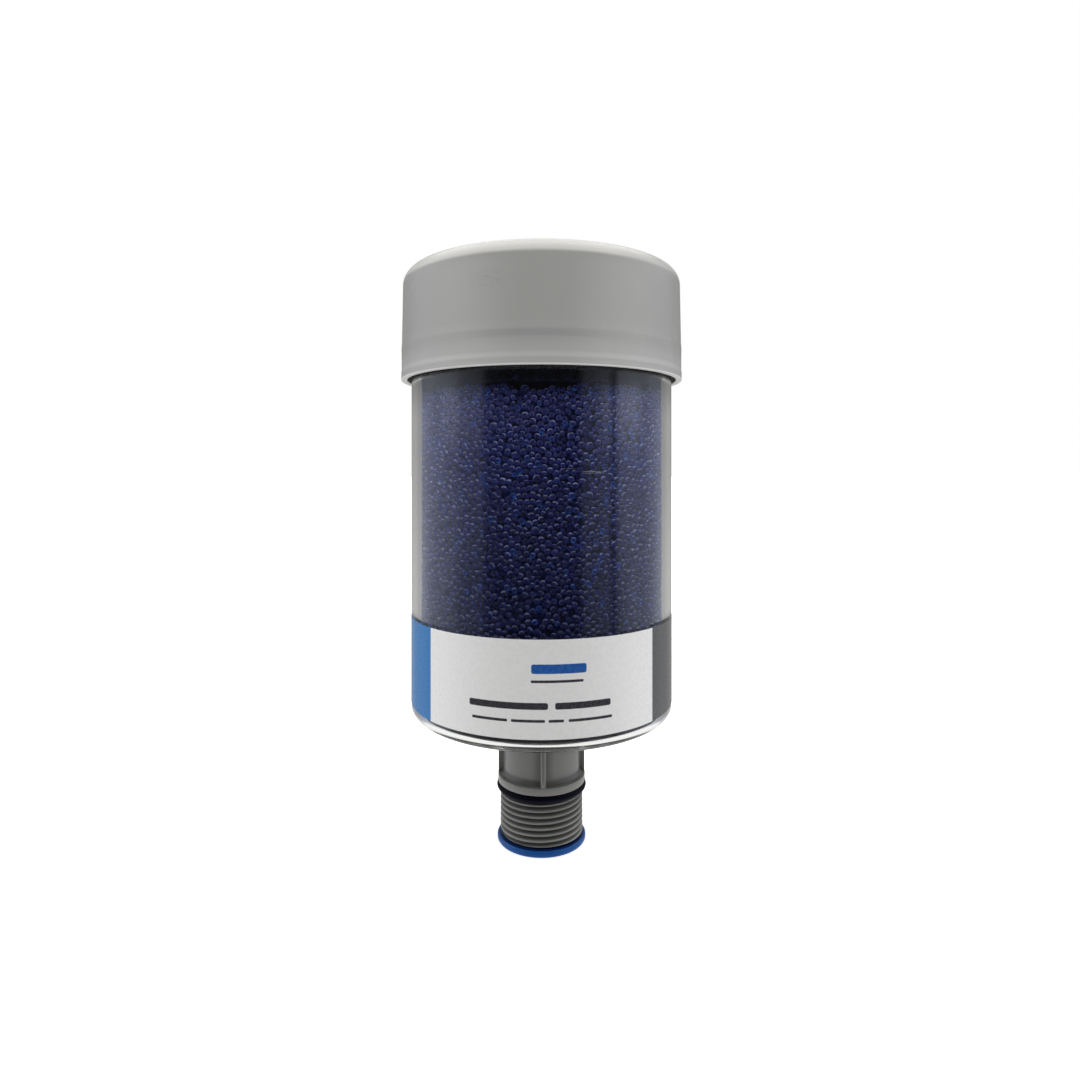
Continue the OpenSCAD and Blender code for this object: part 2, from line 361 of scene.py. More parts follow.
def gel():
    """Glassy beads: dark navy with a thin pale arc of painted highlight along the upper limb, and a share of clearer
    ones with a painted bright blue lower rim of light shining through; their edges and flanks, and the upper beads, are
    painted lighter too.
    """
    m = Mat("gel_beads")
    at = m.t.nodes.new("ShaderNodeAttribute")
    at.attribute_name = "bead"
    sep = m.node("ShaderNodeSeparateColor", Color=at.outputs["Color"])
    tone_and_painted_light, hue, clear = sep.outputs[0], sep.outputs[1], sep.outputs[2]
    glint = at.outputs["Alpha"]
    nrm = m.coords(out="Normal")
    nz = m.node("ShaderNodeSeparateXYZ", Vector=nrm).outputs["Z"]
    flat = m.t.nodes.new("ShaderNodeVectorMath")
    flat.operation = "MULTIPLY"
    m.put(flat.inputs[0], m.coords())
    flat.inputs[1].default_value = (1, 1, 0)
    unit = m.t.nodes.new("ShaderNodeVectorMath")
    unit.operation = "NORMALIZE"
    m.put(unit.inputs[0], flat.outputs[0])
    dot = m.t.nodes.new("ShaderNodeVectorMath")
    dot.operation = "DOT_PRODUCT"
    m.put(dot.inputs[0], nrm)
    m.put(dot.inputs[1], unit.outputs[0])
    facing = dot.outputs["Value"]
    along = m.t.nodes.new("ShaderNodeVectorMath")
    along.operation = "CROSS_PRODUCT"
    along.inputs[0].default_value = (0, 0, 1)
    m.put(along.inputs[1], unit.outputs[0])
    dot2 = m.t.nodes.new("ShaderNodeVectorMath")
    dot2.operation = "DOT_PRODUCT"
    m.put(dot2.inputs[0], nrm)
    m.put(dot2.inputs[1], along.outputs[0])
    # each bead's painted highlight runs along its own upper limb, turned a little to one side
    up = m.math("ADD", nz, m.math("MULTIPLY", dot2.outputs["Value"], m.ramp(hue, 0.0, 1.0, -0.6, 0.6, smooth=False)))
    # dark navy body, lifted by the bead's tone, which also carries painted light higher in the bed
    navy = m.mix(hue, (0.0026, 0.0034, 0.030, 1), (0.0034, 0.0070, 0.060, 1))
    navy = m.mix(tone_and_painted_light, navy, (0.021, 0.029, 0.180, 1))
    # painted glow: the thin edge of each bead is painted bright blue, as if light shone through it
    ring = m.ramp(facing, -0.1, 0.36, 1.0, 0.0)
    col = m.mix(m.math("MULTIPLY", ring, 0.9), navy, (0.14, 0.175, 0.90, 1))
    # painted light: the flanks are painted lighter than the face, and the upper beads lighter than the lower ones
    height = m.math("MULTIPLY", m.node("ShaderNodeSeparateXYZ", Vector=m.coords()).outputs["Z"], 1000.0)
    lit = m.ramp(height, 80.0, 145.0, 0.12, 1.0)
    flank = m.math("MULTIPLY", m.ramp(m.math("ABSOLUTE", dot2.outputs["Value"]), 0.40, 0.85), m.ramp(facing, 0.10, 0.34))
    col = m.mix(m.math("MULTIPLY", m.math("MULTIPLY", flank, lit), 0.5), col, (0.065, 0.082, 0.44, 1))
    # painted light on the far sides of the beads, turned towards the side lamps
    turned = m.math("ABSOLUTE", dot2.outputs["Value"])
    open_side = m.math("MULTIPLY", m.ramp(turned, 0.68, 0.88), m.ramp(facing, 0.05, 0.25))
    col = m.mix(m.math("MULTIPLY", open_side, 0.25), col, (0.18, 0.215, 0.68, 1))
    # painted light: a paler lift on the bead sides high in the bed, fading out under the pad
    high = m.math("MULTIPLY", m.ramp(height, 128.0, 148.0), m.ramp(turned, 0.22, 0.72))
    high = m.math("MULTIPLY", high, m.ramp(height, 150.5, 156.0, 0.22, 0.0))
    col = m.mix(high, col, (0.24, 0.255, 0.48, 1))
    # painted glow: the clearer beads are painted a lighter blue with a bright blue edge, as if light shone through them
    col = m.mix(m.math("MULTIPLY", clear, 0.5), col, (0.007, 0.018, 0.16, 1))
    col = m.mix(m.math("MULTIPLY", m.math("MULTIPLY", ring, clear), 0.85), col, (0.05, 0.12, 0.62, 1))
    # painted highlights: a pale arc along the upper limb and over the crown of each bead, weaker lower in the bed
    limb = m.math("MULTIPLY", m.ramp(facing, 0.10, 0.24), m.ramp(facing, 0.56, 0.78, 1.0, 0.0))
    bow = m.math("MULTIPLY", m.ramp(facing, 0.34, 0.48), m.ramp(facing, 0.66, 0.80, 1.0, 0.0))
    glint = m.math("MULTIPLY", glint, m.ramp(height, 72.0, 108.0, 0.74, 1.0))
    arc = m.math("MULTIPLY", m.math("MULTIPLY", bow, m.ramp(up, 0.36, 0.62)), glint)
    col = m.mix(arc, col, (0.52, 0.60, 1.0, 1))
    crown = m.math("MULTIPLY", m.math("MULTIPLY", m.ramp(facing, -0.2, 0.1), m.ramp(facing, 0.30, 0.48, 1.0, 0.0)), m.ramp(nz, 0.55, 0.78))
    col = m.mix(m.math("MULTIPLY", m.math("MULTIPLY", crown, glint), 0.8), col, (0.52, 0.60, 1.0, 1))
    # painted glow of light through the clearer beads along the limb, brightest at the bottom
    col = m.mix(m.math("MULTIPLY", m.math("MULTIPLY", limb, clear), 0.5), col, (0.05, 0.17, 0.78, 1))
    low = m.math("MULTIPLY", m.math("MULTIPLY", limb, m.ramp(up, -0.82, -0.45, 1.0, 0.0)), clear)
    col = m.mix(low, col, (0.05, 0.34, 1.0, 1))
    fine = m.noise(1400.0, 2.0, 0.6)
    m.set(Base_Color=col, Roughness=m.ramp(fine, 0.25, 0.8, 0.06, 0.15), Normal=m.bump(fine, 0.006, 0.4), IOR=1.5, Specular_IOR_Level=0.14)
    return m


GEL = gel()


def label_film():
    """Printed film: a white front field, painted greyer towards its middle as shade, a blue field to its left, a dark
    grey one to its right, and plain bars.
    """
    m = Mat("label_film")
    xyz = m.node("ShaderNodeSeparateXYZ", Vector=m.coords())
    x, y, z = (xyz.outputs[k] for k in "XYZ")
    az = m.math("ARCTAN2", x, m.math("MULTIPLY", y, -1.0))
    s = m.math("MULTIPLY", az, 52.1)
    h = m.math("MULTIPLY", z, 1000.0)
    grain = m.noise(700.0, 3.0, 0.6)
    cloud = m.noise(30.0, 3.0, 0.5)
    # painted shade: the white field greys towards its middle
    white = m.mix(m.ramp(m.math("ABSOLUTE", s), 5.0, 40.0), (0.885, 0.885, 0.873, 1), (0.985, 0.982, 0.968, 1))
    white = m.mix(m.ramp(cloud, 0.3, 0.7, 0.0, 0.03), white, (0.60, 0.60, 0.60, 1))
    blue = m.mix(cloud, srgb(46, 122, 188), srgb(56, 131, 197))
    grey = m.mix(cloud, srgb(90, 90, 88), srgb(99, 99, 97))
    half = 45.55
    col = m.mix(m.math("LESS_THAN", s, -half), white, blue)
    col = m.mix(m.math("GREATER_THAN", s, half), col, grey)

    def bar(c0, w, cz, hh, colour, prev, rnd=0.35):
        dx = m.math("MAXIMUM", m.math("SUBTRACT", m.math("ABSOLUTE", m.math("SUBTRACT", s, c0)), w / 2 - rnd), 0.0)
        dz = m.math("MAXIMUM", m.math("SUBTRACT", m.math("ABSOLUTE", m.math("SUBTRACT", h, cz)), hh / 2 - rnd), 0.0)
        d = m.math("SQRT", m.math("ADD", m.math("MULTIPLY", dx, dx), m.math("MULTIPLY", dz, dz)))
        return m.mix(m.ramp(d, rnd - 0.06, rnd + 0.06, 1.0, 0.0, smooth=False), prev, colour)

    ink = srgb(52, 52, 58)
    col = bar(6.0, 19.0, 61.4, 3.2, srgb(34, 92, 168), col, 0.8)
    col = bar(5.4, 18.0, 57.2, 0.9, ink, col)
    col = bar(-11.8, 28.0, 48.9, 2.3, ink, col, 0.7)
    col = bar(14.6, 20.0, 48.9, 2.3, ink, col, 0.7)
    for c0, w in ((-18.2, 13.0), (-4.6, 11.6), (5.0, 5.2), (17.2, 16.0)):
        col = bar(c0, w, 43.9, 0.95, ink, col)
    m.set(
        Base_Color=col,
        Roughness=m.ramp(grain, 0.3, 0.75, 0.25, 0.31),
        Normal=m.bump(m.noise(160.0, 2.0, 0.5), 0.003, 0.3),
        Specular_IOR_Level=0.4,
    )
    return m


LABEL = label_film()


def rubber():
    m = Mat("seal_rubber")
    fine = m.noise(1500.0, 3.0, 0.6)
    dust = m.noise(160.0, 4.0, 0.7)
    col = m.mix(m.ramp(dust, 0.55, 0.8, 0.0, 0.35), (0.003, 0.003, 0.011, 1), (0.010, 0.010, 0.024, 1))
    m.set(Base_Color=col, Roughness=m.ramp(fine, 0.3, 0.7, 0.42, 0.56), Normal=m.bump(fine, 0.02, 0.6), Specular_IOR_Level=0.06)
    return m


RUBBER = rubber()


def plug_plastic():
    m = Mat("plug_plastic")
    cloud = m.noise(90.0, 4.0, 0.6)
    fine = m.noise(1800.0, 2.0, 0.5)
    scuff = m.noise(240.0, 5.0, 0.75, distortion=0.8)
    col = m.mix(cloud, srgb(8, 78, 152), srgb(12, 90, 168))
    col = m.mix(m.ramp(scuff, 0.64, 0.8, 0.0, 0.2), col, srgb(90, 140, 196))
    h, _, far = place(m)
    # painted shade on the flange's top face, under the end of the thread
    top = m.math("MULTIPLY", m.ramp(h, -18.5, -18.1), m.ramp(far, 16.9, 17.5, 1.0, 0.0))
    col = m.mix(m.math("MULTIPLY", top, 0.8), col, (0.006, 0.009, 0.05, 1))
    m.set(
        Base_Color=col,
        Roughness=m.ramp(fine, 0.3, 0.7, 0.3, 0.42),
        Normal=m.bump(fine, 0.015, 0.5),
        Specular_IOR_Level=0.25,
        Subsurface_Weight=0.05,
        Subsurface_Scale=0.0012,
        Subsurface_Radius=(0.3, 0.6, 1.0),
    )
    return m


PLUG = plug_plastic()


def foam():
    m = Mat("foam")
    cell = m.voronoi(900.0)
    vein = m.voronoi(900.0, feature="DISTANCE_TO_EDGE")
    col = m.mix(m.ramp(vein, 0.02, 0.2), (0.007, 0.0075, 0.013, 1), (0.002, 0.0022, 0.005, 1))
    h, _, _ = place(m)
    dust = m.math("ADD", m.noise(420.0, 3.0, 0.7), m.ramp(h, 158.4, 162.4, 0.12, -0.30, smooth=False))
    col = m.mix(m.ramp(dust, 0.44, 0.66, 0.0, 0.4), col, (0.030, 0.036, 0.12, 1))
    m.set(Base_Color=col, Roughness=m.ramp(cell, 0.0, 0.6, 0.75, 0.95), Normal=m.bump(cell, 0.35, 0.9), Specular_IOR_Level=0.03)
    return m


FOAM = foam()


def media():
    m = Mat("filter_media")
    fibre = m.noise(260.0, 6.0, 0.75, vec=m.coords((1.0, 1.0, 5.0)), distortion=1.2)
    fine = m.noise(1700.0, 3.0, 0.7)
    col = m.mix(fibre, srgb(214, 210, 198), srgb(238, 236, 228))
    m.set(Base_Color=col, Roughness=m.ramp(fine, 0.2, 0.8, 0.8, 0.95), Normal=m.bump(fine, 0.06, 0.8), Sheen_Weight=0.15)
    return m


MEDIA = media()

# ------------------------------------------------------------------------- cap
cap_pts = rounded(
    [
        (0, 206.4),
        (3.25, 206.4, 0.12),
        (3.5, 206.7, 0.12),
        (55.2, 206.7, 6.0),
        (55.74, 178.2, 12.0),
        (55.92, 175.4, 3.0),
        (55.85, 173.0, 6.0),
        (55.86, 167.8, 1.6),
        (56.02, 166.2, 1.4),
        (55.98, 164.9, 2.0),
        (56.03, 164.1, 0.4),
        (56.0, 163.5, 0.4),
        (53.9, 163.5, 0.15),
        (53.6, 163.8, 0.15),
        (53.55, 176.1),
        (52.7, 204.2, 3.5),
        (0, 204.2),
    ],
    step=6.0,
)
v, f = lathe(cap_pts, 288)
for i in range(6):
    prism(
        [(52.3, 178.1), (53.8, 178.1), (53.8, 202.2), (50.2, 205.2), (48.0, 205.2), (48.0, 190.25), (52.3, 190.25)],
        1.0,
        math.radians(60 * i + 30),
        v,
        f,
    )
add("cap_shell", v, f, CAP.m, "cap", "cap")

# ------------------------------------------------------------------- clear cup
cup_pts = rounded(
    [(14.75, 32.0, 0.2), (52.0, 32.0, 4.3), (52.0, 187.2, 0.4), (48.4, 187.2, 0.4), (48.4, 34.2, 1.6), (14.75, 34.2, 0.2)],
    closed=True,
    step=5.0,
)
v, f = lathe(cup_pts, 360, closed=True)
add("clear_cup", v, f, CLEAR.m, "housing", "body")



def scuff():
    m = Mat("tube_scuff")
    fine = m.noise(3000.0, 3.0, 0.7, vec=m.coords((1.0, 1.0, 0.4)))
    m.set(
        Base_Color=m.mix(m.ramp(fine, 0.3, 0.7), (0.16, 0.16, 0.19, 1), (0.42, 0.42, 0.46, 1)),
        Roughness=m.ramp(fine, 0.3, 0.7, 0.45, 0.7),
        Normal=m.bump(fine, 0.01, 0.5),
    )
    return m


def scuff_lines(name):
    """Fine scratches round the tube: thin, tapering ridges that hug its wall."""
    v, f, k = [], [], 33
    for a0, a1, z, slope, half in ((14.8, 25.4, 127.9, -0.25, 0.12), (15.6, 22.6, 127.2, 0.10, 0.09), (7.0, 13.9, 128.8, 0.05, 0.05), (20.2, 24.2, 127.45, -0.1, 0.05)):
        base = len(v)
        for i in range(k):
            t = i / (k - 1)
            a = math.radians(a0 + (a1 - a0) * t - 90)
            mid = z + slope * t + 0.04 * math.sin(11 * t + z)
            w = half * (0.12 + 0.88 * math.sin(math.pi * t)) * (0.8 + 0.2 * math.sin(31 * t + 2 * z))
            v += [(q * math.cos(a), q * math.sin(a), mid + e * w) for q, e in ((51.985, -1.0), (52.02, -0.55), (52.02, 0.55), (51.985, 1.0))]
        for i in range(k - 1):
            for j in range(4):
                n0, n1 = base + 4 * i, base + 4 * (i + 1)
                f.append((n0 + j, n1 + j, n1 + (j + 1) % 4, n0 + (j + 1) % 4))
        f.append(tuple(base + j for j in range(4)))
        f.append(tuple(base + 4 * (k - 1) + j for j in reversed(range(4))))
    add(name, v, f, scuff().m, "housing", "body", sharp=60)


scuff_lines("tube_scuffs")

# ----------------------------------------------------------------------- label
L_IN, L_OUT, LZ0, LZ1 = 52.02, 52.17, 37.6, 71.3
na = 258
ang = np.radians(np.linspace(90 + 8, 450 - 8, na))
sec = [(L_IN, LZ0)] + [(L_OUT, LZ0 + 0.02 + (LZ1 - LZ0 - 0.04) * k / 8) for k in range(9)] + [(L_IN, LZ1)]
v, f = [], []
for a in ang:
    v += [(r * math.cos(a), r * math.sin(a), z) for r, z in sec]
k = len(sec)
for i in range(na - 1):
    for j in range(k):
        j2 = (j + 1) % k
        f.append((i * k + j, (i + 1) * k + j, (i + 1) * k + j2, i * k + j2))
f.append(tuple(range(k)))
f.append(tuple((na - 1) * k + j for j in reversed(range(k))))
add("label_wrap", v, f, LABEL.m, "housing", "label")


# ------------------------------------------------------------------------ stem
def stem_mesh():
    pitch, hh, depth, major = 2.309, 2.2178, 1.4785, 16.62
    half = [
        (0.0, 17.45), (1.4, 17.45), (2.4, 17.45), (2.75, 17.43), (2.95, 17.36), (3.07, 17.25), (3.14, 17.10),
        (3.24, 16.81), (3.34, 16.30), (3.44, 15.82), (3.56, 15.56), (3.85, 15.42), (4.4, 15.33), (5.2, 15.30),
    ]
    half += [(d, 15.30) for d in np.linspace(7.0, 45.0, 19)[:-1]]
    d = [(-a, r) for a, r in reversed(half[1:])] + half
    outline = [(90 * q + 2.3 + a, r) for q in range(4) for a, r in d]
    extra = [(90 * q + 2.3 + 45.0, 15.30) for q in range(4)]
    outline = sorted(outline + extra)
    th = np.radians([a for a, _ in outline])
    rib = np.array([r for _, r in outline])
    flat = np.ones_like(th)

    def smin(a, b, k):
        h = np.clip(0.5 + 0.5 * (b - a) / k, 0, 1)
        return b + (a - b) * h - k * h * (1 - h)

    def thread(z):
        t = (z / pitch - th / TAU + 0.636) % 1.0
        tri = 1.0 - 4.0 * np.abs(t - 0.5)
        y = hh / 2 * tri
        y = smin(y, flat * depth / 2, 0.34)
        y = -smin(-y, flat * depth / 2, 0.34)
        r = major - depth / 2 + y
        cone = major - 0.9 * np.clip((-16.7 - z) / 0.55, 0, 1)
        return np.minimum(r, cone)

    rings = [(flat * 12.3, -17.25), (flat * 15.0, -17.25)]
    zs = np.concatenate([np.linspace(-17.25, -16.2, 9), np.linspace(-16.2, 0, 98)[1:]])
    rings += [(thread(z), z) for z in zs]
    rings += [(flat * 15.05, 0.0), (flat * 14.9, 0.05), (flat * 14.85, 0.12), (flat * 14.85, 3.08), (flat * 14.9, 3.17), (flat * 15.0, 3.2)]
    rings += [(flat * 17.2, 3.2), (flat * 17.38, 3.23), (flat * 17.5, 3.32), (flat * 17.55, 3.48)]
    rings += [(flat * 17.55, 6.0), (flat * 17.52, 6.18), (flat * 17.42, 6.28), (flat * 17.25, 6.3)]
    for k in range(0, 11):
        w = math.radians(-90 - 9.0 * k)
        rings.append((np.maximum(rib, 17.1 + 1.8 * math.cos(w)) if k else flat * 17.1, 8.1 + 1.8 * math.sin(w)))
    rings += [(rib, z) for z in (8.6, 12.0, 16.0, 20.0, 24.0, 28.0, 31.4, 31.95)]
    rings += [(flat * 14.62, 32.0), (flat * 14.6, 32.1), (flat * 14.6, 41.7), (flat * 14.4, 42.15), (flat * 14.0, 42.4), (flat * 12.4, 42.4), (flat * 12.1, 42.3), (flat * 12.0, 42.0)]
    rings += [(flat * 12.0, z) for z in (30.0, 15.0, 0.0, -16.8)] + [(flat * 12.06, -17.1)]
    v, f, n = [], [], len(th)
    for r, z in rings:
        r = np.minimum(r, 17.55)
        v += list(zip(r * np.cos(th), r * np.sin(th), [z] * n))
    for a in range(len(rings)):
        b = (a + 1) % len(rings)
        for i in range(n):
            j = (i + 1) % n
            f.append((a * n + i, a * n + j, b * n + j, b * n + i))
    return v, f


v, f = stem_mesh()
add("stem_moulding", v, f, STEM.m, "housing", "stem", sharp=40)

# --------------------------------------------------------------------- sealing
ring_pts = [(16.45 + 1.55 * math.cos(TAU * i / 40), 1.6 + 1.53 * math.sin(TAU * i / 40)) for i in range(40)]
ring_pts = [(r, z) for r, z in ring_pts]
v, f = lathe(ring_pts, 256, closed=True)
add("sealing_ring", v, f, RUBBER.m, "housing", "o_ring")

# ------------------------------------------------------------------------ plug
plug_pts = rounded(
    [
        (0, -19.55),
        (1.4, -19.55, 0.15),
        (1.6, -19.75, 0.15),
        (10.8, -19.75, 0.25),
        (11.5, -20.45, 0.25),
        (17.8, -20.45, 0.9),
        (17.8, -17.85, 0.9),
        (11.7, -17.85, 0.3),
        (11.7, -8.05, 0.5),
        (11.1, -6.85, 0.3),
        (10.1, -6.85, 0.3),
        (9.9, -17.25, 0.5),
        (0, -17.25),
    ],
    step=7.0,
)
v, f = lathe(plug_pts, 224)
add("blue_plug", v, f, PLUG.m, "plug", "shipping_plug")


# --------------------------------------------------------------- gel bead bed
def octa(freq):
    """Sphere from a split octahedron: points, triangles, and an unfolded square for each triangle corner."""
    key, pts, tris, maps = {}, [], [], []
    for sx in (1, -1):
        for sy in (1, -1):
            for sz in (1, -1):
                def vid(i, j):
                    p = (sx * i, sy * j, sz * (freq - i - j))
                    if p not in key:
                        key[p] = len(pts)
                        q = np.array(p, float)
                        pts.append(q / np.linalg.norm(q))
                    return key[p]

                def uv(i, j):
                    a, b = i / freq, j / freq
                    if sz < 0:
                        a, b = 1 - j / freq, 1 - i / freq
                    return (sx * a, sy * b)

                for i in range(freq):
                    for j in range(freq - i):
                        cells = [((i, j), (i + 1, j), (i, j + 1))]
                        if i + j < freq - 1:
                            cells.append(((i + 1, j), (i + 1, j + 1), (i, j + 1)))
                        for c in cells:
                            if sx * sy * sz < 0:
                                c = c[::-1]
                            tris.append([vid(*q) for q in c])
                            maps.append([uv(*q) for q in c])
    return np.array(pts), np.array(tris), np.array(maps)


def bead_bed(r_wall, z0, z1):
    """Beads that crowd against the wall of the cup, two deep, pushed apart until they hardly overlap."""
    rng = np.random.default_rng(8030)
    width, height = TAU * r_wall, z1 - z0

    def sizes(n):
        d = rng.normal(2.28, 0.37, n)
        big = rng.random(n) < 0.04
        d[big] = rng.uniform(2.9, 3.6, int(big.sum()))
        return np.clip(d, 1.45, 3.6) / 2

    n1, n2 = 5750, 4750
    r = np.concatenate([sizes(n1), sizes(n2)])
    front = np.arange(n1 + n2) < n1
    p = np.stack([rng.uniform(0, width, n1 + n2), rng.uniform(z0, z1, n1 + n2), np.where(front, r, r + 1.75)], 1)
    cell = 4.2
    nu, nz = int(width // cell), int(height // cell) + 1

    def pairs():
        cu = np.minimum((p[:, 0] / width * nu).astype(int), nu - 1)
        cz = np.clip(((p[:, 1] - z0) / cell).astype(int), 0, nz - 1)
        cid = cu * nz + cz
        order = np.argsort(cid, kind="stable")
        count = np.bincount(cid, minlength=nu * nz)
        start = np.concatenate([[0], np.cumsum(count)[:-1]])
        slot = np.arange(len(p)) - start[cid[order]]
        table = np.full((nu * nz, count.max()), -1)
        table[cid[order], slot] = order
        found = []
        for du in (-1, 0, 1):
            for dz in (-1, 0, 1):
                z2 = cz + dz
                ok = (z2 >= 0) & (z2 < nz)
                who = np.nonzero(ok)[0]
                near = table[((cu[who] + du) % nu) * nz + z2[who]]
                a = np.repeat(who, near.shape[1])
                b = near.ravel()
                keep = b > a
                a, b = a[keep], b[keep]
                dx = p[b] - p[a]
                dx[:, 0] -= width * np.round(dx[:, 0] / width)
                close = (dx**2).sum(1) < (r[a] + r[b] + 0.5) ** 2
                found.append(np.stack([a[close], b[close]]))
        return np.concatenate(found, 1)

    for it in range(90):
        if it % 5 == 0:
            a, b = pairs()
        dx = p[b] - p[a]
        dx[:, 0] -= width * np.round(dx[:, 0] / width)
        dist = np.sqrt((dx**2).sum(1)) + 1e-9
        push = np.maximum((r[a] + r[b]) * 0.985 - dist, 0) * 0.42 / dist
        for c in range(3):
            m = push * dx[:, c]
            p[:, c] += np.bincount(b, m, len(p)) - np.bincount(a, m, len(p))
        p[:, 0] %= width
        p[:, 1] = np.clip(p[:, 1], z0 + r, z1 - r)
        p[:, 2] = np.where(front, np.clip(p[:, 2], r + 0.02, r + 0.22), np.clip(p[:, 2], r + 0.9, 4.4))
    return p, r, front, rng


WALL, BZ0, BZ1 = 48.3, 59.7, 158.5
p, r, front, rng = bead_bed(WALL, BZ0, BZ1)
theta = p[:, 0] / WALL
rho = WALL - p[:, 2]
centre = np.stack([rho * np.cos(theta), rho * np.sin(theta), p[:, 1]], 1)
n = len(r)
quat = rng.normal(size=(n, 4))
quat /= np.linalg.norm(quat, axis=1)[:, None]
w_, x_, y_, z_ = quat.T
rot = np.stack(
    [
        1 - 2 * (y_ * y_ + z_ * z_), 2 * (x_ * y_ - z_ * w_), 2 * (x_ * z_ + y_ * w_),
        2 * (x_ * y_ + z_ * w_), 1 - 2 * (x_ * x_ + z_ * z_), 2 * (y_ * z_ - x_ * w_),
        2 * (x_ * z_ - y_ * w_), 2 * (y_ * z_ + x_ * w_), 1 - 2 * (x_ * x_ + y_ * y_),
    ],
    1,
).reshape(n, 3, 3)
squeeze = np.clip(rng.normal(0.95, 0.05, (n, 3)), 0.80, 1.0)
level = (p[:, 1] - BZ0) / (BZ1 - BZ0)
# clearer beads, which carry the painted glow, are made more common higher in the bed, where more light falls
clear = (rng.random(n) < 0.035 + 0.075 * level) & front
clear = clear * rng.uniform(0.35, 1.0, n)
# painted light: higher in the bed the beads get a lighter tone on top of their random spread, and a stronger painted
# highlight (glint)
tone_and_painted_light = np.clip(rng.beta(1.3, 3.2, n) * (0.25 + 0.8 * level) + 0.6 * np.clip((level - 0.55) / 0.4, 0, 1), 0, 1)
tone_and_painted_light = np.where(front, tone_and_painted_light, 0.05 + 0.8 * level**1.5)
hue = rng.random(n)
glint = np.where(rng.random(n) < 0.2, 0.1, np.minimum((0.26 + 0.84 * rng.beta(1.4, 1.6, n)) * (0.55 + 0.85 * level**1.5), 1.0)) * np.where(front, 1.0, 0.35)
# beads behind the label count only where its ends leave a gap at the back
from_front = (theta - 1.5 * math.pi + math.pi) % TAU - math.pi
crest = 158.0 + 0.7 * np.clip((np.degrees(from_front) - 5) / 50, 0, 1) + 0.45 * np.sin(5 * theta) + 0.4 * np.sin(13 * theta + 1)
crest += 1.2 * np.clip((np.abs(np.degrees(from_front)) - 55) / 20, 0, 1)
loose = p[:, 1] + 0.55 * r > crest
# the topmost beads lie in the shade of the pad
shade = np.clip((crest - p[:, 1]) / 4.0, 0.2, 1.0)
tone_and_painted_light, glint = tone_and_painted_light * shade, glint * shade
hidden = loose | (p[:, 1] < 69.0) & (np.abs((theta - math.pi / 2 + math.pi) % TAU - math.pi) > math.radians(16))
SECTORS = 6
ball = {True: octa(3), False: octa(2)}
for k in range(SECTORS):
    vs, ts, us, cs, base, cell_no = [], [], [], [], 0, 0
    here = (np.floor(theta / TAU * SECTORS).astype(int) % SECTORS == k) & ~hidden
    side = int(math.ceil(math.sqrt(here.sum())))
    for layer in (True, False):
        idx = np.nonzero(here & (front == layer))[0]
        pts, tris, maps = ball[layer]
        loc = (pts[None] * squeeze[idx, None, :]) @ rot[idx].transpose(0, 2, 1)
        vs.append((loc * r[idx, None, None] + centre[idx, None, :]).reshape(-1, 3))
        ts.append((tris[None] + (base + np.arange(len(idx)) * len(pts))[:, None, None]).reshape(-1, 3))
        no = cell_no + np.arange(len(idx))
        org = np.stack([no % side, no // side], 1)[:, None, None, :] + 0.5
        us.append(((org + maps[None] * 0.42) / side).reshape(-1, 2))
        cs.append(np.repeat(np.stack([tone_and_painted_light[idx], hue[idx], clear[idx], glint[idx]], 1), len(pts), axis=0))
        base += len(idx) * len(pts)
        cell_no += len(idx)
    vs, ts, us, cs = (np.concatenate(q) for q in (vs, ts, us, cs))
    me = bpy.data.meshes.new(f"gel_beads_{k + 1}")
    me.vertices.add(len(vs))
    me.vertices.foreach_set("co", (vs * 0.001).ravel())
    me.loops.add(ts.size)
    me.loops.foreach_set("vertex_index", ts.ravel().astype(np.int32))
    me.polygons.add(len(ts))
    me.polygons.foreach_set("loop_start", (np.arange(len(ts)) * 3).astype(np.int32))
    me.update(calc_edges=True)
    me.shade_smooth()
    uv = me.uv_layers.new(name="OFBake")
    uv.uv.foreach_set("vector", us.ravel().astype(np.float32))
    at = me.attributes.new("bead", "FLOAT_COLOR", "POINT")
    at.data.foreach_set("color", cs.ravel().astype(np.float32))
    me.materials.append(GEL.m)
    ob = bpy.data.objects.new(f"gel_beads_{k + 1}", me)
    SCENE.collection.objects.link(ob)
    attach(ob, "housing")
    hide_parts("gel_bed")

# heart of the bed, behind the beads at the wall
rs = np.random.default_rng(5)
zs = np.linspace(BZ0 + 0.05, 155.6, 80)
na = 240
v = []
for z in zs:
    for i in range(na):
        q = 44.9 + 0.45 * math.sin(i * 1.7 + z * 2.3) * math.sin(z * 1.9 - i * 0.9) + rs.uniform(-0.25, 0.25)
        v.append((q * math.cos(TAU * i / na), q * math.sin(TAU * i / na), z))
f = []
for a in range(len(zs) - 1):
    for i in range(na):
        j = (i + 1) % na
        f.append((a * na + i, a * na + j, (a + 1) * na + j, (a + 1) * na + i))
f.append(tuple(reversed(range(na))))
f.append(tuple((len(zs) - 1) * na + i for i in range(na)))
ob = add("gel_heart", v, f, GEL.m, "housing", "gel_bed", sharp=80)
at = ob.data.attributes.new("bead", "FLOAT_COLOR", "POINT")
at.data.foreach_set("color", np.tile([0.3, 0.5, 0.0, 0.0], len(ob.data.vertices)).astype(np.float32))


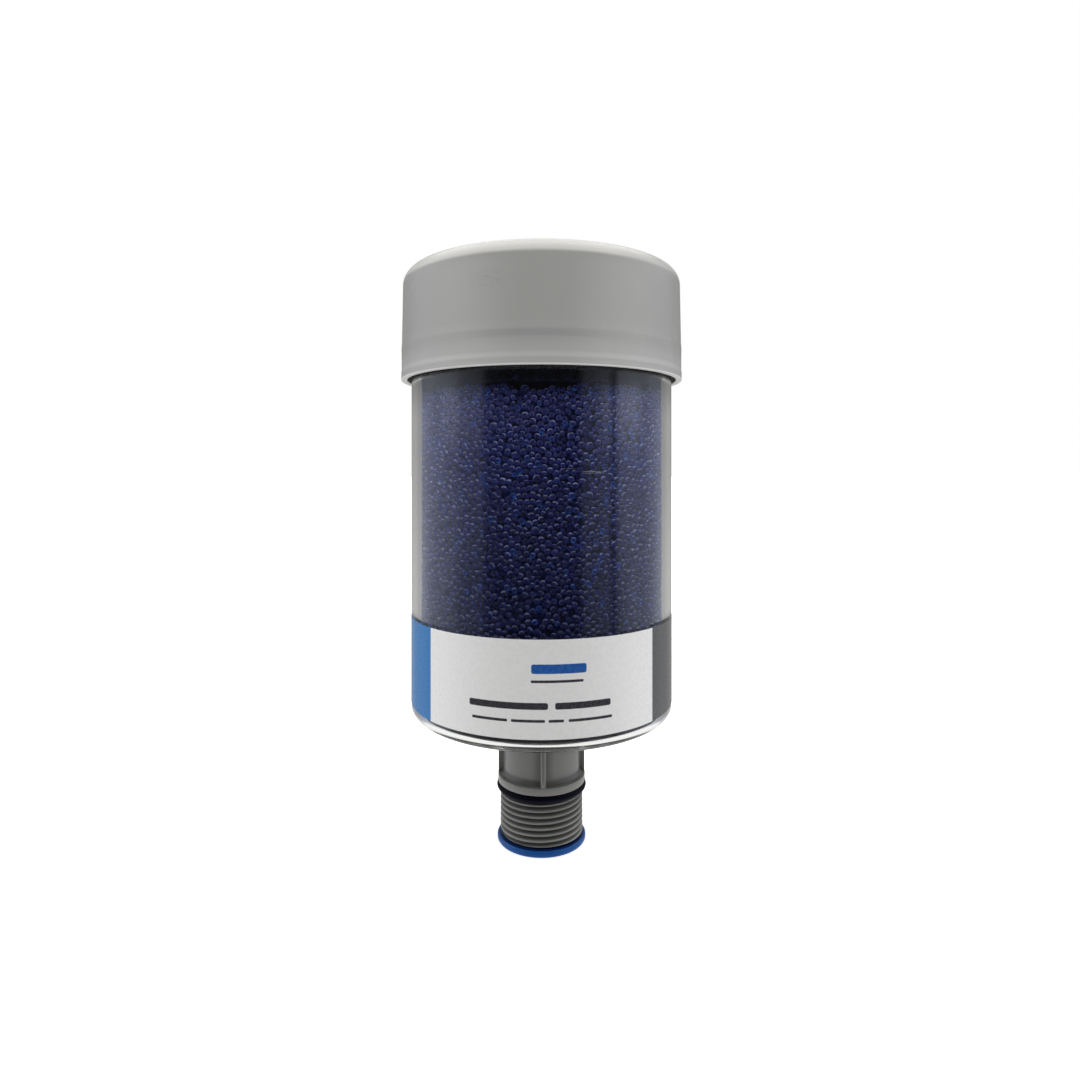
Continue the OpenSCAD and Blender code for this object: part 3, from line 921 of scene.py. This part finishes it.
# ------------------------------------------------------------ foam and filters
def foam_pad(name, node, z0, z1, seed):
    q = np.random.default_rng(seed)
    rad = np.concatenate([[0.0], np.linspace(4, 46.6, 12), [47.6, 48.1]])
    na, v, f = 160, [], []
    rings = []
    prof = [(rr, z1, 1) for rr in rad] + [(48.15, z1 - 0.9, 0), (48.15, (z0 + z1) / 2, 0), (48.15, z0 + 0.1, 0)] + [(rr, z0, -1) for rr in rad[::-1]]
    for rr, z, s in prof:
        if rr == 0.0:
            rings.append([len(v)])
            v.append((0, 0, z - 0.15 * s))
            continue
        ids = []
        for i in range(na):
            dr = q.uniform(-0.28, 0.0)
            dz = -s * q.uniform(0.0, 0.35)
            ids.append(len(v))
            v.append(((rr + dr) * math.cos(TAU * i / na), (rr + dr) * math.sin(TAU * i / na), z + dz))
        rings.append(ids)
    for a, b in zip(rings, rings[1:]):
        for i in range(na):
            j = (i + 1) % na
            if len(a) == 1:
                f.append((a[0], b[i], b[j]))
            elif len(b) == 1:
                f.append((a[i], a[j], b[0]))
            else:
                f.append((a[i], a[j], b[j], b[i]))
    ob = add(name, v, f, FOAM.m, "housing", node, sharp=60)
    return ob


foam_pad("top_foam_pad", "top_foam", 158.52, 177.18, 11)
foam_pad("bottom_foam_pad", "bottom_foam", 53.72, 59.68, 12)


def pleated(name, node, z0, z1):
    """Disc of media folded in fine radial pleats inside a plain rim."""
    folds, t, v, f = 120, 0.5, [], []
    na = folds * 4
    rad = [3.0, 4.0, 10.0, 20.0, 32.0, 45.5, 46.2]
    top = z1 - 0.05
    rows = []
    for sgn in (1, -1):
        seq = rad if sgn > 0 else rad[::-1]
        for rr in seq:
            ids = []
            for i in range(na):
                w = 0.5 + 0.5 * math.cos(TAU * i / 4)
                deep = (z1 - z0 - 2 * t - 0.2) * min(1.0, max(0.0, (rr - 3.0) / 18.0)) * (0.0 if rr > 46 else 1.0)
                mid = (z0 + z1) / 2 + (w - 0.5) * deep
                ids.append(len(v))
                v.append((rr * math.cos(TAU * i / na), rr * math.sin(TAU * i / na), mid + sgn * t / 2))
            rows.append(ids)
        if sgn > 0:
            for rr, z in ((46.6, top), (47.9, top), (48.15, top - 0.3), (48.15, z0 + 0.35), (47.9, z0 + 0.05), (46.6, z0 + 0.05)):
                rows.append(list(range(len(v), len(v) + na)))
                v += [(rr * math.cos(TAU * i / na), rr * math.sin(TAU * i / na), z) for i in range(na)]
    for a, b in zip(rows, rows[1:]):
        for i in range(na):
            j = (i + 1) % na
            f.append((a[i], a[j], b[j], b[i]))
    hub = [len(v), len(v) + 1]
    v += [(0, 0, (z0 + z1) / 2 + t / 2), (0, 0, (z0 + z1) / 2 - t / 2)]
    for i in range(na):
        j = (i + 1) % na
        f.append((hub[0], rows[0][i], rows[0][j]))
        f.append((hub[1], rows[-1][j], rows[-1][i]))
    return add(name, v, f, MEDIA.m, "housing", node, sharp=50)


pleated("top_filter_disc", "top_filter", 177.2, 181.2)
pleated("bottom_filter_disc", "bottom_filter", 49.7, 53.7)

# ------------------------------------------------- CAD nodes that keep their shape
for name, mat in (("top_retainer", GRID), ("bottom_grid", GRID), ("stem_nut", STEM), ("stem_gasket", RUBBER)):
    ob = NODES[name]
    ob.data.materials.clear()
    ob.data.materials.append(mat.m)

# ------------------------------------------------------------------ floor, light
FLOOR_Z = CAD_BOX[0][2]


def floor_material():
    m = Mat("floor_pale")
    fine = m.noise(300.0, 4.0, 0.6)
    m.set(
        Base_Color=m.mix(m.noise(3.0, 3.0, 0.5), (0.84, 0.84, 0.835, 1), (0.87, 0.87, 0.865, 1)),
        Roughness=m.ramp(fine, 0.2, 0.8, 0.75, 0.9),
        Specular_IOR_Level=0.2,
        Emission_Color=(1, 1, 1, 1),
        Emission_Strength=0.62,
    )
    return m.m


FLOOR_MAT = floor_material()


def floor(name):
    me = bpy.data.meshes.new(name)
    me.from_pydata([(-9, -4, FLOOR_Z), (9, -4, FLOOR_Z), (9, 14, FLOOR_Z), (-9, 14, FLOOR_Z)], [], [(0, 1, 2, 3)])
    me.materials.append(FLOOR_MAT)
    ob = bpy.data.objects.new(name, me)
    SCENE.collection.objects.link(ob)
    # the table's light on the part comes from the lower half of the studio, so the floor only catches its shadow
    ob.visible_diffuse = ob.visible_glossy = ob.visible_transmission = ob.visible_shadow = False


floor("floor_sweep")

world = bpy.data.worlds.new("studio")
SCENE.world = world
world.use_nodes = True
wt = world.node_tree
for nd in list(wt.nodes):
    wt.nodes.remove(nd)


def wn(kind, **attrs):
    nd = wt.nodes.new(kind)
    for k, val in attrs.items():
        setattr(nd, k, val)
    return nd


def wput(sock, val):
    if hasattr(val, "is_output"):
        wt.links.new(val, sock)
    else:
        sock.default_value = val


def wmath(op, a, b=0.0):
    nd = wn("ShaderNodeMath", operation=op)
    wput(nd.inputs[0], a)
    wput(nd.inputs[1], b)
    return nd.outputs[0]


def wramp(val, lo, hi, a, b):
    nd = wn("ShaderNodeMapRange", interpolation_type="SMOOTHSTEP")
    for s_, q_ in zip(("Value", "From Min", "From Max", "To Min", "To Max"), (val, lo, hi, a, b)):
        wput(nd.inputs[s_], q_)
    return nd.outputs[0]


def wblend(f, a, b):
    return wmath("ADD", wmath("MULTIPLY", a, wmath("SUBTRACT", 1.0, f)), wmath("MULTIPLY", b, f))


dirs = wn("ShaderNodeSeparateXYZ")
wt.links.new(wn("ShaderNodeTexCoord").outputs["Generated"], dirs.inputs[0])
dx, dy, dz = (dirs.outputs[k] for k in "XYZ")
turn = wmath("ADD", wmath("DIVIDE", wmath("ARCTAN2", dx, wmath("MULTIPLY", dy, -1.0)), TAU), 0.5)
# soft walls all round by azimuth in degrees from the front, open towards the viewer
WALLS = (
    (-180, 0.40), (-147, 0.40), (-140, 0.30), (-133, 0.28), (-126, 0.42), (-112, 0.53), (-97, 0.58), (-80, 0.53), (-71, 0.34),
    (-54, 0.26), (-47, 0.06), (-34, 0.03), (30, 0.03), (40, 0.22), (60, 0.32), (63, 0.09), (66, 0.11), (70, 0.52),
    (84, 0.56), (96, 0.46), (112, 0.46), (126, 0.40), (133, 0.28), (140, 0.30), (147, 0.40), (180, 0.40),
)
walls = wn("ShaderNodeValToRGB")
walls.color_ramp.interpolation = "EASE"
while len(walls.color_ramp.elements) < len(WALLS):
    walls.color_ramp.elements.new(0.5)
for el, (deg, val) in zip(walls.color_ramp.elements, WALLS):
    el.position = (deg + 180) / 360
for el, (deg, val) in zip(walls.color_ramp.elements, WALLS):
    el.color = (val, val, val, 1)
wput(walls.inputs[0], turn)
# behind the part they are brighter near the table and darker higher up
signed = wmath("SUBTRACT", turn, 0.5)
side = wmath("ABSOLUTE", signed)
rise = wmath("MULTIPLY", wramp(dz, -0.17, 0.05, 1.3, 1.0), wramp(dz, 0.06, 0.14, 1.0, 0.5))
wall = wmath("MULTIPLY", walls.outputs["Color"], wblend(wramp(side, 0.31, 0.35, 0.0, 1.0), 1.0, rise))
# a soft pane stands high on each side, the right one the brighter
pane = wmath("MULTIPLY", wramp(side, 0.128, 0.161, 0.0, 1.0), wramp(side, 0.244, 0.289, 1.0, 0.0))
pane = wmath("MULTIPLY", pane, wramp(signed, -0.02, 0.02, 0.6, 1.0))
pane = wmath("MULTIPLY", pane, wmath("MULTIPLY", wramp(dz, 0.0, 0.08, 0.0, 1.0), wramp(dz, 0.095, 0.125, 1.0, 0.1)))
wall = wmath("MULTIPLY", wall, wmath("ADD", pane, 1.0))
wall = wmath("MULTIPLY", wall, wblend(wramp(side, 0.20, 0.25, 1.0, 0.0), 1.0, wramp(dz, -0.19, -0.05, 0.72, 1.0)))
# wide soft ceiling, and a white table under everything
upper = wmath("ADD", wramp(side, 0.13, 0.19, 0.12, 1.95), wramp(side, 0.31, 0.38, 0.0, -1.4))
ceiling = wramp(dz, 0.60, 0.66, 0.0, 1.0)
table = wramp(dz, -0.42, -0.32, 1.0, 0.0)
light = wblend(wramp(dz, 0.24, 0.40, 0.0, 1.0), wall, upper)
light = wblend(ceiling, light, 1.90)
light = wblend(table, light, 0.95)
tint = wn("ShaderNodeMix", data_type="RGBA")
wput(tint.inputs["Factor"], wmath("MAXIMUM", wmath("MAXIMUM", wramp(dz, 0.24, 0.40, 0.0, 1.0), table), wramp(side, 0.35, 0.39, 0.0, 1.0)))
tint.inputs[6].default_value = (0.91, 0.97, 1.13, 1)
tint.inputs[7].default_value = (1.0, 0.993, 0.98, 1)
seen = wn("ShaderNodeBackground")
seen.inputs["Color"].default_value = (1, 1, 1, 1)
seen.inputs["Strength"].default_value = 1.0
tent = wn("ShaderNodeBackground")
wput(tent.inputs["Color"], tint.outputs[2])
wput(tent.inputs["Strength"], light)
pick = wn("ShaderNodeMixShader")
wput(pick.inputs[0], wn("ShaderNodeLightPath").outputs["Is Camera Ray"])
wput(pick.inputs[1], tent.outputs[0])
wput(pick.inputs[2], seen.outputs[0])
wput(wn("ShaderNodeOutputWorld").inputs["Surface"], pick.outputs[0])

# ---------------------------------------------------------------------- camera
cam = bpy.data.cameras.new("camera")
cam.sensor_width = 36.0
cam.lens = 736.9 / 1080 * 36.0
cam.shift_x = (540.0 - 541.5) / 1080
cam.shift_y = (469.2 - 540.0) / 1080
cam.clip_start, cam.clip_end = 0.01, 50.0
eye = bpy.data.objects.new("camera", cam)
eye.location = (0.0, -0.2996, 0.1286)
eye.rotation_euler = (math.radians(90), 0, 0)
SCENE.collection.objects.link(eye)
SCENE.camera = eye
SCENE.view_settings.view_transform = "Standard"
SCENE.view_settings.look = "None"
